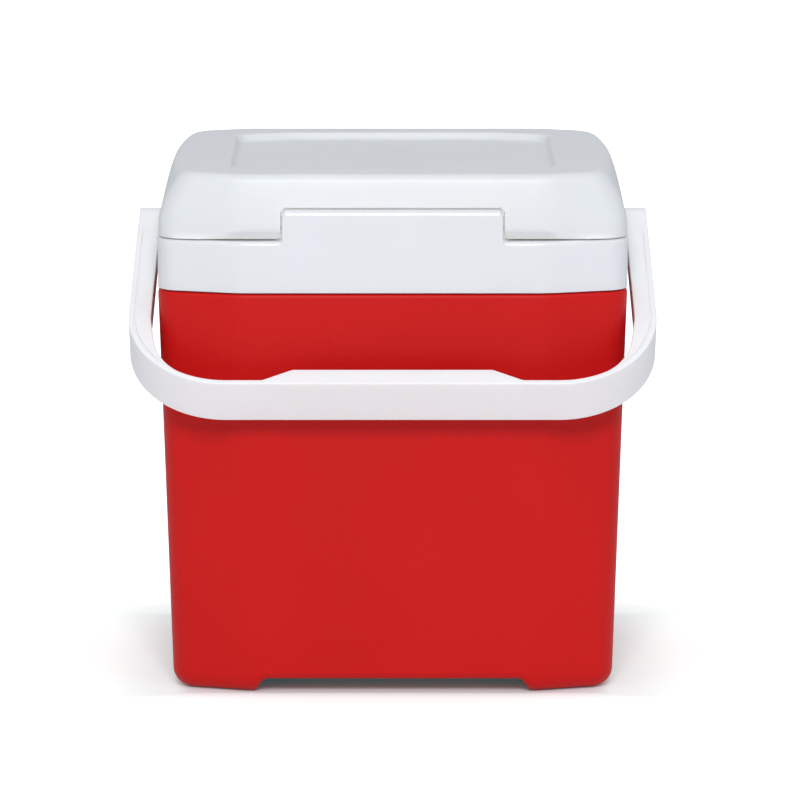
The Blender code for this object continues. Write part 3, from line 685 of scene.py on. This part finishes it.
bm = weave(lid_rings, cap_last=True)
bmesh.ops.remove_doubles(bm, verts=bm.verts, dist=2e-6)
for face in list(bm.faces):
    kept = [v for v in face.verts if not in_notch(v.co)]
    if len(kept) < len(face.verts):
        bm.faces.remove(face)
        if len(kept) == 3:
            bm.faces.new(kept)
bmesh.ops.delete(bm, geom=[v for v in bm.verts if not v.link_faces], context="VERTS")
lid = new_piece("lid_top", bm)
thicken(lid, lid_wall)
soften(lid, 0.4 * MM)
shade(lid)

# Painted light: these glows are emission that lightens the shade low on the lid's rolled edge by the
# seam and in the pocket round the tab.
painted_seam_light, painted_pocket_light = (0.17, 0.165, 0.15), (0.36, 0.35, 0.31)
roll_top = hinge + Vector((0.0, -2.0 * MM, -4.5 * MM))
lid_tint, lid_matt = (0.762, 0.776, 0.786), 0.42
lid_satin = white_plastic("lid_satin", lid_tint, lid_matt, grain=0.3, wave=0.25,
                          glow=(painted_seam_light, roll_top))
put(lid, lid_satin, "lid", "lid_white", "lid_cover")

# The pocket that the tab stands in: a curved skin and two cheeks, moulded in one with the cover.
# Their material is painted light: an emission glow lightens the shade in the pocket round the tab.
pocket = 11.9 * MM                  # radius round the hinge axis
pocket_wall = 1.6 * MM
pocket_sweep = math.radians(118.0)
pocket_edge = lid_low.z + 0.4 * MM - hinge.z
pocket_top = hinge + Vector((0.0, 20.0 * MM, 20.0 * MM))
pocket_white = white_plastic("pocket_white", lid_tint, lid_matt, wave=0.25,
                             glow=(painted_pocket_light, pocket_top))
pocket_path = [hinge + Vector((0.0, -6.4 * MM, 10.7 * MM))]
for k in range(13):
    a = pocket_sweep * (1 - k / 12)
    pocket_path.append(hinge + Vector((0.0, pocket * math.cos(a), pocket * math.sin(a))))
pocket_path.append(hinge + Vector((0.0, pocket, pocket_edge)))
bm = bmesh.new()
ends = []
for hand in (-1, 1):
    ends.append([bm.verts.new((hand * (notch_x + 1.0 * MM), p.y, p.z)) for p in pocket_path])
for i in range(1, len(pocket_path)):
    bm.faces.new((ends[0][i - 1], ends[0][i], ends[1][i], ends[1][i - 1]))
skin = new_piece("hinge_pocket", bm)
thicken(skin, pocket_wall, 1.0)
shade(skin)
put(skin, pocket_white, "lid", "lid_white", "lid_cover")

cheek_wall = 2.4 * MM
cheek_roll = roll - 0.6 * MM
for hand, side in ((-1, "left"), (1, "right")):
    bm = bmesh.new()
    edge = [(pocket + pocket_wall, 0.4 * MM + lid_low.z - hinge.z), (pocket + pocket_wall, 12.0 * MM),
            (-7.6 * MM, 12.0 * MM), (-8.0 * MM, 9.0 * MM)]
    for k in range(9):
        a = math.radians(180.0 + 80.0 * k / 8)
        edge.append((cheek_roll * math.cos(a), cheek_roll * math.sin(a)))
    inner = [bm.verts.new((hand * notch_x, hinge.y + y, hinge.z + z)) for y, z in edge]
    outer = [bm.verts.new((hand * (notch_x + cheek_wall), hinge.y + y, hinge.z + z)) for y, z in edge]
    for i in range(len(edge)):
        bm.faces.new((inner[i - 1], inner[i], outer[i], outer[i - 1]))
    bm.faces.new(inner)
    bm.faces.new(outer)
    cheek = new_piece("hinge_cheek_" + side, bm)
    soften(cheek, 0.3 * MM, 30.0)
    shade(cheek)
    put(cheek, pocket_white, "lid", "lid_white", "lid_cover")


# ---- Lid liner ---------------------------------------------------------------------------------
# The lid's white underside: a thin plate welded inside the cover's edge, drawn down in the middle
# to a soft-cornered plug that fits the mouth of the liner.

plate_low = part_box("lid_liner")[0]
plate_z = lid_low.z
plate_inset = 2.5 * MM
plate_wall = 1.8 * MM
plug_x, plug_y, plug_corner = 107.5 * MM, 77.5 * MM, 22.0 * MM
plug_round, plug_fillet = 4.0 * MM, 1.5 * MM
rear_limit = plate_low.y - middle_y
notch_limit = hinge.y - middle_y + 14.8 * MM
ear_x = 66.3 * MM                   # half width of the gap that the plate leaves for the tab


def plate_plan(inset):
    points = outline(lid_x, lid_y, rim_flat, inset, ear_x)
    inner = [i for i, p in enumerate(points) if p.y < 0 and abs(p.x) <= ear_x + 1e-6][1:-1]
    for i, p in enumerate(points):
        p.y = max(p.y, notch_limit if i in inner else rear_limit)
        if p.y > 0:
            p.y += lip_reach * (1 - smooth(lip_flat, lip_half, abs(p.x)))
    return points


def plug_plan(shrink):
    return [mouth_point(p, plug_x - shrink, plug_y - shrink, plug_corner - shrink)
            for p in outline(lid_x, lid_y, rim_flat, 8.0 * MM, ear_x)]


plate_rings = [lift(plate_plan(plate_inset), plate_z + 2.0 * MM),
               lift(plate_plan(plate_inset), plate_z + 0.4 * MM),
               lift(plate_plan(plate_inset + 0.4 * MM), plate_z),
               lift(plate_plan(plate_inset + 2.0 * MM), plate_z)]
for k in range(6):
    a = math.pi / 2 * k / 5
    plate_rings.append(lift(plug_plan(-plug_fillet * (1 - math.sin(a))),
                            plate_z - plug_fillet * (1 - math.cos(a))))
for k in range(8):
    a = math.pi / 2 * k / 7
    plate_rings.append(lift(plug_plan(plug_round * (1 - math.cos(a))),
                            plate_low.z + plug_round * (1 - math.sin(a))))
base = plate_rings[-1]
middle = Vector((0.0, middle_y, plate_low.z))
for share in (0.1, 0.35, 0.65, 0.9):
    plate_rings.append([p.lerp(middle, share) for p in base])
plate = new_piece("lid_underside", weave(plate_rings, cap_last=True))
thicken(plate, plate_wall)
shade(plate)
put(plate, white_plastic("lid_liner_gloss", (0.80, 0.805, 0.80), 0.30), "lid", "liner_white",
    "lid_liner")


# ---- Handle ------------------------------------------------------------------------------------
# One white polypropylene strap bent in a U: round hubs on the collar's studs, thick grooved arms,
# a thin band round the corners and a thickened grip pad in the middle.

hang = math.radians(33.0)           # how far it swings out from the body where it hangs
strap_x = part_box("handle")[1].x     # outside of the arms, where they bend
hub_x = strap_x - 2.8 * MM          # outside of the hubs
strap_reach = 147.0 * MM            # pivot to the outside of the grip
strap_half = 14.5 * MM              # half width of the strap
hub_half = 12.7 * MM                # half width where it ends in a hub
hub_flare = 30.0 * MM               # distance over which it widens
bend = 57.0 * MM                    # outer radius of its two bends
arm_thick, band_thick, pad_thick = 13.0 * MM, 3.5 * MM, 12.0 * MM
inner_draft = 0.11                  # share of its thickness lost towards the lower edge
pad_x, pad_ramp = 57.0 * MM, 17.0 * MM
strap_round = 0.9 * MM
groove_near, groove_far, groove_deep = 2.9 * MM, 4.1 * MM, 1.1 * MM
groove_start, groove_full = 12.0 * MM, 18.0 * MM    # distances from the pivot
groove_none, groove_thick = 4.6 * MM, 6.4 * MM      # strap thicknesses between which it fades
bend_x, bend_r = strap_x - bend, strap_reach - bend


def strap_section(thick, groove):
    """(depth in from the outside, side, distance in from the edge) round one cross-section."""
    r = min(strap_round, thick / 3)
    near, far = min(groove_near, thick * 0.42), min(groove_far, thick * 0.72)
    near, far = max(near, r + 0.05 * MM), max(far, r + 0.3 * MM)
    cut = 0.12 * (far - near)
    edge = [(0.0, r), (0.13 * r, 0.5 * r), (0.5 * r, 0.13 * r), (r, 0.0), (near, 0.0),
            (near + cut, groove * 0.06), (near + 2 * cut, groove * 0.9), ((near + far) / 2, groove),
            (far - 2 * cut, groove * 0.9), (far - cut, groove * 0.06), (far, 0.0)]
    edge += [(thick - r, 0.0), (thick - 0.5 * r, 0.13 * r), (thick - 0.13 * r, 0.5 * r), (thick, r)]
    return [(u, 1, e) for u, e in edge] + [(u, -1, e) for u, e in reversed(edge)]


def strap_ring(outer, inner, groove, hub_turn=0.0):
    """A cross-section of the strap; on the hub it swings round the pivot to close the end."""
    outer, inner = Vector(outer), Vector(inner)
    across = (inner - outer).normalized()
    ring = []
    for u, hand, e in strap_section((inner - outer).length, groove):
        p = outer + across * u * (1 - inner_draft * (1 - hand) / 2)
        width = hub_half + (strap_half - hub_half) * smooth(0.0, hub_flare, outer.y)
        edge = width - e
        ring.append(Vector((p.x, -(p.y - edge * math.sin(hub_turn)), hand * edge * math.cos(hub_turn))))
    return ring


def arm_ring(r, hub_turn=0.0):
    """The arm's cross-section at a distance from the pivot; the arms splay towards the bend."""
    x = hub_x + (strap_x - hub_x) * r / bend_r
    groove = groove_deep * smooth(groove_start, groove_full, r)
    return strap_ring((x, r), (x - arm_thick, r), groove, hub_turn)


half = []
for degrees in (89, 82, 74, 66, 58, 50, 42, 34, 26, 18, 10, 4):
    half.append(arm_ring(0.0, math.radians(degrees)))
for r in (0.0, 6.0, 11.0, 12.5, 14.0, 16.0, 18.0, 24.0, 34.0, 45.0, 56.0, 67.0, 78.0):
    half.append(arm_ring(r * MM))
thin_start, thin_end = math.radians(8.0), math.radians(62.0)
for k in range(31):
    a = math.pi / 2 * k / 30
    thick = arm_thick + (band_thick - arm_thick) * smooth(thin_start, thin_end, a)
    ray = Vector((math.cos(a), math.sin(a)))
    start = Vector((bend_x, bend_r))
    half.append(strap_ring(start + ray * bend, start + ray * (bend - thick),
                           groove_deep * smooth(groove_none, groove_thick, thick)))
pad_rise = pad_thick - band_thick
for x, rise in ((84.0 * MM, 0.0), (pad_x + pad_ramp + 1.0 * MM, 0.0), (pad_x + pad_ramp, 0.02),
                (pad_x + pad_ramp - 1.0 * MM, 0.06), (pad_x + 1.0 * MM, 0.94), (pad_x, 0.98),
                (pad_x - 1.0 * MM, 1.0), (30.0 * MM, 1.0)):
    half.append(strap_ring((x, strap_reach), (x, strap_reach - band_thick - pad_rise * rise), 0.0))
middle_ring = strap_ring((0.0, strap_reach), (0.0, strap_reach - pad_thick), 0.0)
other = [[Vector((-p.x, p.y, p.z)) for p in ring] for ring in reversed(half)]
bm = weave(half + [middle_ring] + other, cap_first=True, cap_last=True)
strap = new_piece("swing_handle", bm)
strap.data.transform(Matrix.Translation(pivot) @ Matrix.Rotation(hang, 4, "X"))

seat = 8.3 * MM                     # radius of the stepped seat for the stud's head
seat_deep = 3.1 * MM
cutter_over = 4.0 * MM
arm_in = hub_x - arm_thick
seat_floor = hub_x - seat_deep
for hand, side in ((-1, "left"), (1, "right")):
    cutter = turned("seat_cutter_" + side, [
        (0.0, arm_in - cutter_over), (bore, arm_in - cutter_over), (bore, seat_floor),
        (seat, seat_floor), (seat, hub_x - 0.5 * MM), (seat + 0.6 * MM, hub_x + 0.1 * MM),
        (seat + 0.6 * MM, hub_x + cutter_over), (0.0, hub_x + cutter_over)], pivot, hand)
    cut = strap.modifiers.new("seat_" + side, "BOOLEAN")
    cut.operation = "DIFFERENCE"
    cut.object = cutter
    cut.solver = "EXACT"
    cutter.hide_render = True
bpy.context.view_layer.update()
drilled = strap.evaluated_get(bpy.context.evaluated_depsgraph_get())
finished = bpy.data.meshes.new_from_object(drilled)
strap.modifiers.clear()
strap.data = finished
for side in ("left", "right"):
    bpy.data.objects.remove(bpy.data.objects["seat_cutter_" + side])
shade(strap, 30.0)
handle_satin = white_plastic("handle_satin", (0.895, 0.893, 0.900), 0.34, grain=0.15, wave=0.2)
put(strap, handle_satin, "handle", "handle_white", "handle")


# ---- Pins and studs ----------------------------------------------------------------------------
# Small turned parts in natural acetal: two hinge pins between tab and ears, and two studs whose
# flat heads hold the handle's hubs on the collar.

acetal = white_plastic("acetal", (0.76, 0.74, 0.68), 0.36, wave=0.1)
pin_edge = 0.6 * MM
shank = 5.0 * MM                    # radius of a stud below its head
stud_step = collar_x - 2.5 * MM     # where the stud's root widens under the collar's skin
head_thick, head_edge, dimple = 2.4 * MM, 0.7 * MM, 3.2 * MM
for hand, side in ((-1, "left"), (1, "right")):
    low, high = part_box("hinge_pin_" + side)
    radius = (high.z - low.z) / 2
    start, end = sorted((abs(low.x), abs(high.x)))
    pin = turned("pin_" + side, [(0.0, start), (radius - pin_edge, start), (radius, start + pin_edge),
                                 (radius, end - pin_edge), (radius - pin_edge, end), (0.0, end)],
                 hinge, hand)
    shade(pin, 30.0)
    put(pin, acetal, "body", "pin_white", "hinge_pin_" + side)

    low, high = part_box("pivot_stud_" + side)
    head = (high.z - low.z) / 2
    root, top = sorted((abs(low.x), abs(high.x)))
    under = top - head_thick
    stud = turned("stud_" + side, [
        (0.0, root), (shank, root), (shank + 1.5 * MM, stud_step), (shank, stud_step),
        (shank, under), (head, under), (head, top - head_edge), (head - 0.2 * MM, top - 0.25 * MM),
        (head - head_edge, top), (head - dimple, top), (head - dimple - 0.5 * MM, top - 0.4 * MM),
        (0.0, top - 0.4 * MM)], pivot, hand)
    shade(stud, 30.0)
    put(stud, acetal, "body", "pin_white", "pivot_stud_" + side)


# ---- Foam --------------------------------------------------------------------------------------
# Poured polyurethane foam that fills the walls and the lid and glues their skins together. It is
# hidden once the cooler is closed up.

foam = Finish("poured_foam", Specular_IOR_Level=0.2)
cells = foam.node("ShaderNodeTexVoronoi", Vector=foam.place, Scale=900.0)
tone = foam.mix(foam.mask(foam.noise(40.0, 4.0), 0.3, 0.7), (0.80, 0.72, 0.46), (0.86, 0.80, 0.58))
foam.drive(Base_Color=tone, Roughness=0.85 + cells * 0.1, Normal=foam.bump(cells, 0.0004, 0.8))
for name in ("body_foam", "lid_foam"):
    block = frame["nodes"][name]
    block.data.materials.clear()
    block.data.materials.append(foam.material)


# ---- Studio ------------------------------------------------------------------------------------
# A pale seamless floor in a soft white room: an even sky, and one soft light high in front of the
# hinge side. The floor paper glows to the camera alone, least right under the cooler and most far
# away from it, so that it stays near white round its shadow.

scene = bpy.context.scene
scene.view_settings.view_transform = "Standard"

bm = bmesh.new()
bmesh.ops.create_circle(bm, cap_ends=True, segments=96, radius=9.0)
floor = new_piece("studio_floor", bm)
paper = Finish("floor_paper", Specular_IOR_Level=0.1, Emission_Strength=1.0)
pale = paper.mix(paper.noise(3.0, 2.0), (0.88, 0.89, 0.89), (0.90, 0.91, 0.91))
across = paper.node("ShaderNodeSeparateXYZ", out="X", Vector=paper.place)
along = paper.node("ShaderNodeSeparateXYZ", out="Y", Vector=paper.place)
stand_x, stand_y = 0.128, 0.098                     # half size of the cooler's stand on the floor
steeper = 4.0                                       # how much faster the glow grows front to back
near_start, near_end = 0.0, 0.05
far_start, far_end = 0.04, 0.40
under_start, under_end = -0.012, 0.001
under_glow, edge_glow = (0.012, 0.056, 0.056), (0.18, 0.24, 0.23)
near_glow, far_glow = (0.34, 0.39, 0.37), (0.80, 0.80, 0.80)
beside = paper.node("ShaderNodeMath", setup={"operation": "ABSOLUTE"}, i0=across) + -stand_x
before = paper.node("ShaderNodeMath", setup={"operation": "ABSOLUTE"}, i0=along + -middle_y) + -stand_y
away = paper.node("ShaderNodeMath", setup={"operation": "MAXIMUM"}, i0=beside, i1=before * steeper)
glow = paper.mix(paper.mask(away, near_start, near_end), edge_glow, near_glow)
glow = paper.mix(paper.mask(away, far_start, far_end), glow, far_glow)
glow = paper.mix(paper.mask(away, under_start, under_end), under_glow, glow)
seen = paper.node("ShaderNodeLightPath", out="Is Camera Ray")
glow = paper.mix(seen, (0.0, 0.0, 0.0), glow)
floor.data.materials.append(paper.drive(Base_Color=pale, Emission_Color=glow,
                                        Roughness=0.8 + paper.noise(50.0) * 0.1))
floor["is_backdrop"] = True

room = bpy.data.worlds.new("soft_room")
room.use_nodes = True
sky = (0.55, 0.565, 0.60, 1.0)
room.node_tree.nodes["Background"].inputs["Color"].default_value = sky
scene.world = room

key = bpy.data.lights.new("key_softbox", "AREA")
key.size = 1.2
key.energy = 68.0
key.color = (0.99, 0.995, 1.0)
lamp = bpy.data.objects.new("key_softbox", key)
lamp.location = (0.0, -3.0, 2.44)
lit_spot = Vector((0.0, middle_y, 0.15))
lamp.rotation_euler = (lit_spot - lamp.location).to_track_quat("-Z", "Y").to_euler()
scene.collection.objects.link(lamp)

camera_side, camera_back, camera_height = 0.0042, 3.0, 0.727
camera_tilt = math.radians(90.0 - 10.80)            # looks 10.8 degrees down
lens = bpy.data.cameras.new("camera")
lens.sensor_width = 36.0
lens.lens = 231.8
lens.clip_end = 60.0
camera = bpy.data.objects.new("camera", lens)
camera.location = (camera_side, middle_y - camera_back, camera_height)
camera.rotation_euler = (camera_tilt, 0.0, 0.0)
scene.collection.objects.link(camera)
scene.camera = camera

low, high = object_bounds()
